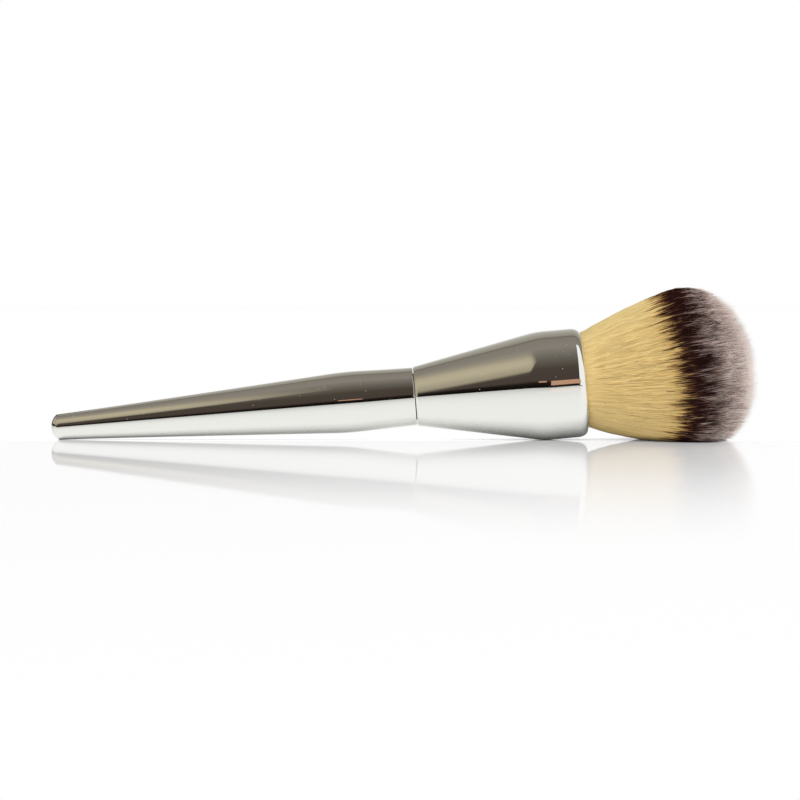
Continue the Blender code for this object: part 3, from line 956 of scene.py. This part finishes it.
        # Some strands lack most of the pale tip, but for those near the axis and on top.
        chance = self.dark_tip_share * smooth_share(share, *self.dark_tip_reach)
        chance = chance * smooth_share(from_top, *self.dark_tip_degrees)
        early = early + self.dark_tip_factor * (rng.uniform(0.0, 1.0, count) < chance)
        early = early * locks.dark[lock] * rng.lognormal(0.0, self.dye_scatter, count)
        band = self.band_mm + locks.band[lock] + rng.normal(0.0, self.band_scatter_mm, count)
        clearance = np.repeat(self.surface(along) - down, 3, axis=1)[:, :per_strand]
        attributes = {
            # Painted shade: points within reach of the surface are darkened in the material.
            "contact_shade": smooth_share(clearance, 0.0, self.contact_shade_reach).ravel(),
            "from_tip": (from_tip * early[:, None]).ravel(),
            "dye": (from_tip - band[:, None]).ravel(),
            "shade": np.repeat(rng.uniform(0.0, 1.0, count), per_strand),
        }
        return points.reshape(-1, 3), faces, attributes

    def sections(
        self,
        along: np.ndarray,
        down: np.ndarray,
        side: np.ndarray,
        thickness: np.ndarray,
        angle: np.ndarray,
    ) -> np.ndarray:
        """Put a three-cornered section on every station but the last, which is the point.

        Formula: corner k lies at thickness times (cos, sin) of angle plus k thirds of a turn.

        Args:
            along: Stations along the axis, one row per strand.
            down: Distance below the axis at each station.
            side: Distance beside the axis at each station.
            thickness: Radius of the section at each station.
            angle: Angle round the axis at each station.

        Returns:
            Points of each strand, ring by ring, with the strand's point last.
        """
        body = (slice(None), slice(0, -1), None)
        corner = angle[body] + np.arange(3) * math.tau / 3
        ring_down = down[body] + thickness[body] * np.cos(corner)
        ring_side = side[body] + thickness[body] * np.sin(corner)
        ring_along = np.repeat(along[body], 3, axis=2)
        rings = self.axis.place(ring_along, ring_down, ring_side).reshape(len(along), -1, 3)
        ends = self.axis.place(along[:, -1:], down[:, -1:], side[:, -1:])
        return np.concatenate([rings, ends], axis=1)

    @staticmethod
    def strand_faces(rings: int) -> list[np.ndarray]:
        """Give one strand's faces.

        Args:
            rings: Number of three-cornered rings before the point.

        Returns:
            The sides as four-cornered faces, and the point and the root cap as three-cornered ones.
        """
        ring = np.arange(rings - 1)[:, None] * 3
        corner = np.arange(3)
        after = (corner + 1) % 3
        sides = np.stack([ring + corner, ring + after, ring + 3 + after, ring + 3 + corner], axis=-1)
        base = (rings - 1) * 3
        point = np.column_stack([base + corner, base + after, np.full(3, rings * 3)])
        return [sides.reshape(-1, 4), np.vstack([point, (2, 1, 0)])]

    def core(self, material: bpy.types.Material) -> bpy.types.Object:
        """Build the dense heart of the bundle, which fills the dark between the strands.

        Formula: the tuft's own flare and an elliptic dome, drawn in by the inset, over a grid of
        angle and place, closed by a vertex at its root and one at its pole. Its distance from the
        tip is that of the rim before the head, and is level from there on.

        Args:
            material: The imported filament.

        Returns:
            The core's object.
        """
        turn = np.linspace(0.0, math.tau, self.core_sides, endpoint=False)
        rim = self.rim(turn) - self.core_inset
        flare = np.linspace(0.0, 1.0, self.core_flare_rows)[:, None]
        along = between(self.start, rim, flare)
        radius = self.spread(along) - self.core_inset * between(self.core_root_inset, 1.0, flare)
        dome_turn = np.linspace(0.0, QUARTER_TURN, self.core_dome_rows)[1:-1, None]
        pole = self.pole - self.core_inset * self.core_pole_inset
        along = np.vstack([along, rim + (pole - rim) * np.sin(dome_turn)])
        radius = np.vstack([radius, radius[-1] * np.cos(dome_turn)])
        side = radius * np.sin(turn)
        clear = self.core_clear_strands * self.strand_radius
        down = self.pressed(along, radius * np.cos(turn), side, clear)
        shell = self.axis.place(along, down, side).reshape(-1, 3)
        points = np.vstack([shell, self.axis.poles(self.start, pole)])
        faces = turned_faces(len(along), self.core_sides, towards_tips=True)
        thing = new_mesh_object("tuft_core", points, faces, material)
        outer_mm = (self.rim(turn) + self.core_rim_from_tip - along) / MM
        skin_mm = np.maximum(outer_mm, self.core_from_tip_mm).ravel()
        from_tip = np.append(skin_mm, [self.core_root_from_tip_mm, self.core_from_tip_mm])
        plain = np.ones(len(from_tip))
        numbers = {"from_tip": from_tip, "dye": from_tip - self.band_mm}
        store_numbers(thing, {"contact_shade": plain, "shade": 0.5 * plain, **numbers})
        return thing

    def build(self, filament: DyedFilament) -> list[bpy.types.Object]:
        """Build and dress every piece of the tuft.

        Args:
            filament: The filament's finish.

        Returns:
            The core and the layers of strands.
        """
        rng = np.random.default_rng(self.seed)
        locks = Locks.scatter(self.lock_count, self.lock_scatter_mm, self.lock_dye_scatter, rng)
        made = [self.core(filament.make(packed=True))]
        material = filament.make()
        for layer, plan in self.plans:
            for number in range(plan.pieces):
                points, faces, attributes = self.strands(plan, locks, rng)
                piece = new_mesh_object(f"tuft_{layer.value}_strands_{number + 1}", points, faces, material)
                store_numbers(piece, attributes)
                made.append(piece)
        for piece in made:
            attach(piece, "root")
            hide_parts("bristle_tuft")
        return made


# Pieces inside handle and ferrule.


@dataclass
class InnerPieces:
    """The CAD pieces that stay, each with its own finish."""

    finishes: tuple[tuple[str, GrainedSolid], ...] = (
        ("handle_weight", STEEL),
        ("tenon_plug", ABS),
        ("ferrule_liner", ABS),
        ("handle_glue_bead", RESIN),
        ("ferrule_glue_bead", RESIN),
        ("root_potting", RESIN),
        ("root_tie", THREAD),
    )

    def dress(self, nodes: dict[str, bpy.types.Object]) -> None:
        """Give each kept CAD node its finish.

        Args:
            nodes: The frame's objects by name.
        """
        made = {}
        for name, finish in self.finishes:
            if finish.name not in made:
                made[finish.name] = finish.make()
            for material_slot in nodes[name].material_slots:
                material_slot.material = made[finish.name]
            LOG.info("dressed %s in %s", name, finish.name)


# Studio.


@dataclass
class Studio:
    """A white sweep in a white room, with the dark and warm things that the plating mirrors."""

    camera_distance: float = 0.56
    camera_elevation_degrees: float = 3.0
    aim: tuple[float, float, float] = (-0.0008, 0.0, 0.0109)
    lens_mm: float = 91.6
    wall_light: Colour = (0.71, 0.71, 0.71, 1.0)
    floor_reach: float = 6.0
    gloss: float = 0.48
    gloss_end: float = -0.25
    mirrored_gloss: float = 0.55
    gloss_roughness: float = 0.04
    floor_front: float = -0.33
    floor_shadow: str = "#1A1713"
    floor_white: float = 0.93
    white_under_brush: float = 0.75
    glow_near: float = 0.12
    glow_far: float = 0.4
    least_glow: float = 0.66
    wash_front: float = -0.02
    wash_back: float = -0.004
    contact_shade_reach: float = 0.1
    open_sky: float = 0.37
    hidden_sky: float = 0.06
    gap_sky: float = 0.01
    window_columns: int = 90
    window_rows: int = 60
    window_place: float = -0.7
    window_front: float = -1.665
    window_fade: float = -0.95
    window_back: float = 0.24
    blind_foot: float = 1.6
    window_top: float = 2.85
    # Share of the light, and where behind the front edge its rise starts and ends.
    pane_rises: tuple[tuple[float, float, float], ...] = ((0.7, 0.0, 0.16), (0.3, 0.1, 0.6))
    card_place: float = 0.36
    card_edge_width: float = 0.3
    flag_place: float = -0.35
    bar_depth: float = -0.6
    # The colours are those seen in the metal.
    white: str = "#EEEEE9"
    warm: str = "#B3A98F"
    copper: str = "#B88F74"
    # The room's surfaces, by degrees from the front horizon over the top to the back one at 180.
    room: tuple[tuple[float, str], ...] = (
        (0.0, "#0B0805"),  # Doorway
        (8.0, "#1E1813"),  # Skirting
        (13.0, "#443B34"),  # Front wall's foot
        (38.0, "#474037"),  # Front wall's top
        (60.0, "#645F56"),  # Upper wall
        (88.0, "#857E74"),  # Ceiling
        (115.0, "#7E786D"),  # Ceiling's end
        (119.5, "#6A635B"),  # Batten
        (123.5, "#8C8779"),  # Back ceiling
        (152.0, "#ADAAA0"),  # Back wall
        (171.0, "#EEEEE9"),  # Backdrop
    )

    def build(self) -> None:
        """Build the camera, the room, the lamps, the floor and what the metal mirrors."""
        self.set_camera()
        self.set_world()
        self.set_lamps()
        self.set_floor()
        self.set_window_light()
        self.set_cards()
        self.set_copper_bars()
        bpy.context.scene.view_settings.view_transform = "Standard"

    def set_camera(self) -> None:
        """Place the camera level, at the photograph's distance and elevation."""
        elevation = math.radians(self.camera_elevation_degrees)
        data = bpy.data.cameras.new("camera")
        data.lens = self.lens_mm
        data.sensor_width = 36.0
        data.clip_start = 0.01
        data.clip_end = 50.0
        camera = bpy.data.objects.new("camera", data)
        offset = Vector((0.0, -math.cos(elevation), math.sin(elevation))) * self.camera_distance
        turn = Matrix.Rotation(QUARTER_TURN - elevation, 4, "X")
        camera.matrix_world = Matrix.Translation(Vector(self.aim) + offset) @ turn
        bpy.context.scene.collection.objects.link(camera)
        bpy.context.scene.camera = camera

    def set_world(self) -> None:
        """Make a white room, which the metal sees as dark in front and light behind."""
        world = bpy.data.worlds.new("white_room")
        bpy.context.scene.world = world
        add = NodeSheet(world).add
        way = add("SeparateXYZ", {0: add("TexCoord", out="Generated")}).node.outputs
        front = add("Math", {0: way["Y"], 1: -1.0}, operation="MULTIPLY")
        angle = add("Math", {0: way["Z"], 1: front}, operation="ARCTAN2")
        ramp = add("ValToRGB", {0: add("Math", {0: angle, 1: 1 / math.pi}, operation="MULTIPLY")})
        set_stops(ramp, [(degrees / 180, seen_in_chrome(colour)) for degrees, colour in self.room])
        below = add("Math", {0: way["Z"], 1: 0.0}, operation="LESS_THAN")
        dark = linear(self.room[0][1])
        mirrored = add("Mix", {0: below, 6: ramp, 7: dark}, 2, data_type="RGBA")
        rays = add("LightPath").node.outputs
        mirror_rays = {0: rays["Is Glossy Ray"], 1: rays["Is Transmission Ray"]}
        sharp = add("Math", mirror_rays, operation="MAXIMUM")
        lights = (self.wall_light, mirrored, WHITE_LIGHT)
        room, seen, plain = (add("Background", {0: light}) for light in lights)
        lit = add("MixShader", {0: sharp, 1: room, 2: seen})
        add("OutputWorld", {0: add("MixShader", {0: rays["Is Camera Ray"], 1: lit, 2: plain})})

    def set_lamps(self) -> None:
        """Hang a wide soft lamp in front of the brush, and a small one behind the bristles' tips."""
        lamps = (
            ("front_softbox", (0.1, -1.05, 0.28), (1.2, 0.7), 4.9),
            ("rear_softbox", (0.75, 0.3, 0.3), (0.6, 0.5), 4.8),
        )
        for name, place, (width, height), energy in lamps:
            data = bpy.data.lights.new(name, "AREA")
            data.shape = "RECTANGLE"
            data.size, data.size_y = width, height
            data.energy = energy
            lamp = bpy.data.objects.new(name, data)
            way = (-Vector(place)).to_track_quat("-Z", "Y").to_matrix().to_4x4()
            lamp.matrix_world = Matrix.Translation(place) @ way
            lamp.visible_glossy = False
            bpy.context.scene.collection.objects.link(lamp)

    def add_sheet(
        self, name: str, corners: list[tuple[float, float, float]], material: bpy.types.Material
    ) -> bpy.types.Object:
        """Add a flat sheet of the studio.

        Args:
            name: Name of the sheet.
            corners: Its corners in order.
            material: Its material.

        Returns:
            The sheet.
        """
        points = np.array(corners, dtype=float)
        sheet = new_mesh_object(name, points, [list(range(len(points)))], material)
        return sheet

    def only_mirrored(self, sheet: bpy.types.Object) -> None:
        """Let nothing but mirror rays see a sheet.

        Args:
            sheet: The sheet.
        """
        for rays in ("camera", "diffuse", "shadow", "transmission", "volume_scatter"):
            setattr(sheet, "visible_" + rays, False)

    def set_floor(self) -> None:
        """Lay the white glossy floor.

        The camera sees it as white under a gloss that fades towards the camera, with a painted shadow that
        deepens where the brush touches it. The metal sees the same sheet, which mirrors more at a flat angle
        and ends in front of the brush, where the dark room starts.
        """
        sheet = NodeSheet(bpy.data.materials.new("white_acrylic_sheet_polished"))
        add = sheet.add
        rays = add("LightPath").node.outputs
        to_camera, in_metal, bounced = (rays[f"Is {kind} Ray"] for kind in ("Camera", "Glossy", "Diffuse"))
        place = add("TexCoord", out="Object")
        depth = add("SeparateXYZ", {0: place}, "Y")
        fade = {"Value": depth, "From Min": self.gloss_end, "From Max": 0.0, "To Max": self.gloss}
        near = add("MapRange", fade, interpolation_type="SMOOTHSTEP")
        flat_angle = add("Fresnel", {"IOR": 1.45})
        mirrored = add("Math", {0: flat_angle, 1: self.mirrored_gloss}, operation="MULTIPLY")
        gloss = add("Mix", {0: to_camera, 2: mirrored, 3: near}, data_type="FLOAT")
        # Painted shadow: how much of the sky a place on the sheet sees past the brush tells how white its
        # glow is.
        sky = add("AmbientOcclusion", {"Distance": self.contact_shade_reach}, "AO", samples=8)
        broad = add("MapRange", {"Value": sky, "From Min": self.hidden_sky, "From Max": self.open_sky})
        tight = add("MapRange", {"Value": sky, "From Max": self.gap_sky})
        open_share = add("Mix", {0: to_camera, 2: broad, 3: tight}, data_type="FLOAT")
        shadow = {6: linear(self.floor_shadow), 7: WHITE_LIGHT}
        shaded = add("Mix", {0: open_share, **shadow}, 2, data_type="RGBA")
        away = add("VectorMath", {0: place}, "Value", operation="LENGTH")
        outwards = {"From Min": self.glow_near, "From Max": self.glow_far, "To Min": self.least_glow}
        glow = add("MapRange", {"Value": away, **outwards})
        # Painted light: behind the brush's front edge the sheet shows only its glow, standing in for light
        # from behind that washes the shadow out in the gap under the brush.
        wash = {"Value": depth, "From Min": self.wash_front, "From Max": self.wash_back}
        glow = add("Math", {0: glow, 1: add("MapRange", wash)}, operation="MAXIMUM")
        glow = add("Math", {0: glow, 1: in_metal}, operation="MAXIMUM")
        # The brush's own underside gets less light back, as next to the sheet in a real shadow.
        whites = {2: self.floor_white, 3: self.white_under_brush}
        matt = add("BsdfDiffuse", {0: add("Mix", {0: bounced, **whites}, data_type="FLOAT")})
        plain = add("MixShader", {0: glow, 1: matt, 2: add("Emission", {0: shaded})})
        paper = add("MixShader", {0: bounced, 1: plain, 2: matt})
        mirror = add("BsdfGlossy", {0: WHITE_LIGHT, "Roughness": self.gloss_roughness})
        polished = add("MixShader", {0: gloss, 1: paper, 2: mirror})
        in_front = add("Math", {0: depth, 1: self.floor_front}, operation="LESS_THAN")
        gone = add("Math", {0: in_front, 1: in_metal}, operation="MULTIPLY")
        final = add("MixShader", {0: gone, 1: polished, 2: add("BsdfTransparent")})
        add("OutputMaterial", {0: final})
        reach = self.floor_reach
        corners = [(-reach, -reach, 0), (reach, -reach, 0), (reach, reach, 0), (-reach, reach, 0)]
        self.add_sheet("floor", corners, sheet.owner)

    def set_window_light(self) -> None:
        """Stand a warm window at the left, seen as the beige band on handle and ferrule.

        Formula: a grid on one upright plane. Its cover rises quickly and then slowly behind an
        upright front edge, falls to nothing beside the brush, and falls with height under a blind.
        """
        columns, rows = self.window_columns, self.window_rows
        share, height = np.meshgrid(np.linspace(0.0, 1.0, columns), np.linspace(0.0, self.window_top, rows))
        depth = between(self.window_front, self.window_back, share)
        behind = depth - self.window_front
        pane = sum(part * smooth_share(behind, start, end) for part, start, end in self.pane_rises)
        pane = pane * (1 - smooth_share(depth, self.window_fade, self.window_back))
        cover = pane * (1 - smooth_share(height, self.blind_foot, self.window_top))
        across = np.full_like(depth, self.window_place)
        points = np.stack([across, depth, height], axis=-1).reshape(-1, 3)
        corner = (np.arange(rows - 1)[:, None] * columns + np.arange(columns - 1)).ravel()
        faces = np.column_stack([corner, corner + 1, corner + columns + 1, corner + columns]).tolist()
        sheet = NodeSheet(bpy.data.materials.new("warm_window_light"))
        add = sheet.add
        strength = add("Attribute", out="Fac", attribute_name="cover")
        light = add("Emission", {0: seen_in_chrome(self.warm)})
        final = add("MixShader", {0: strength, 1: add("BsdfTransparent"), 2: light})
        add("OutputMaterial", {0: final})
        window = new_mesh_object("window_light", points, faces, sheet.owner)
        store_numbers(window, {"cover": cover.ravel()})
        self.only_mirrored(window)

    def glowing(self, name: str, colour: str) -> bpy.types.Material:
        """Make a material that shows one colour in the metal.

        Args:
            name: The material's name.
            colour: The colour as it is seen in the metal.

        Returns:
            The material.
        """
        sheet = NodeSheet(bpy.data.materials.new(name))
        sheet.add("OutputMaterial", {0: sheet.add("Emission", {0: seen_in_chrome(colour)})})
        return sheet.owner

    @staticmethod
    def upright(front: float, back: float, low: float, high: float) -> list[tuple[float, float]]:
        """Return an upright rectangle's corners in order, each as (y or x, z)."""
        return [(front, low), (back, low), (back, high), (front, high)]

    def set_cards(self) -> None:
        """Stand the cards at both sides.

        The rolled lip mirrors the white one at the right as a bright crescent, with its dark edge
        beside it. The handle's tip mirrors the ones at the left, as a beige crown with a dark
        outline and a dark line between its halves.
        """
        leaning = [(-1.05, 0.0), (-1.05, 0.4), (-0.53, 1.15), (0.05, 1.6)]
        back = [(0.05, 0.7), (-0.1, 0.3), (-0.1, 0.0)]
        edge = [(y - self.card_edge_width, z) for y, z in reversed(leaning)]
        cards = (
            ("white_card", self.card_place, [*leaning, *back], self.white),
            ("white_card_edge", self.card_place, [*leaning, *edge], "#2A2420"),
            ("beige_card", self.flag_place, self.upright(-0.05, 0.27, 0.035, 0.6), "#A79F8B"),
            ("beige_card_foot", self.flag_place, self.upright(-0.05, 0.27, 0.0, 0.035), "#1A1713"),
            ("black_card", self.flag_place, self.upright(0.27, 1.0, 0.0, 0.6), "#2A2420"),
        )
        for name, x, outline, colour in cards:
            corners = [(x, y, z) for y, z in outline]
            self.only_mirrored(self.add_sheet(name, corners, self.glowing(name + "_mirrored", colour)))

    def set_copper_bars(self) -> None:
        """Lay two copper-coloured bars in front, seen as thin warm streaks on neck and band."""
        material = self.glowing("copper_bar_mirrored", self.copper)
        bars = (
            ("copper_bar_left", -0.095, 0.0, 0.105, 0.135),
            ("copper_bar_right", 0.055, 0.30, 0.035, 0.13),
        )
        for name, *edges in bars:
            corners = [(x, self.bar_depth, z) for x, z in self.upright(*edges)]
            self.only_mirrored(self.add_sheet(name, corners, material))


def main() -> None:
    """Build the studio and the brush in order, and report each piece."""
    logging.basicConfig(level=logging.INFO, format="%(name)s: %(message)s")
    nodes = frame["nodes"]
    Studio().build()
    axis = BrushAxis.from_nodes(nodes["handle_shell"], nodes["ferrule"])
    tilt = math.degrees(math.asin(axis.forward[2]))
    LOG.info("axis from %s, tilted %.3f degrees", (axis.tip / MM).round(3), tilt)
    chrome = PlatedChrome().make()
    pieces = [Handle().build(axis, chrome), Ferrule().build(axis, chrome)]
    pieces += Tuft(axis).build(DyedFilament())
    InnerPieces().dress(nodes)
    for piece in pieces:
        LOG.info("built %s with %d faces", piece.name, len(piece.data.polygons))


if __name__ == "__main__":
    main()
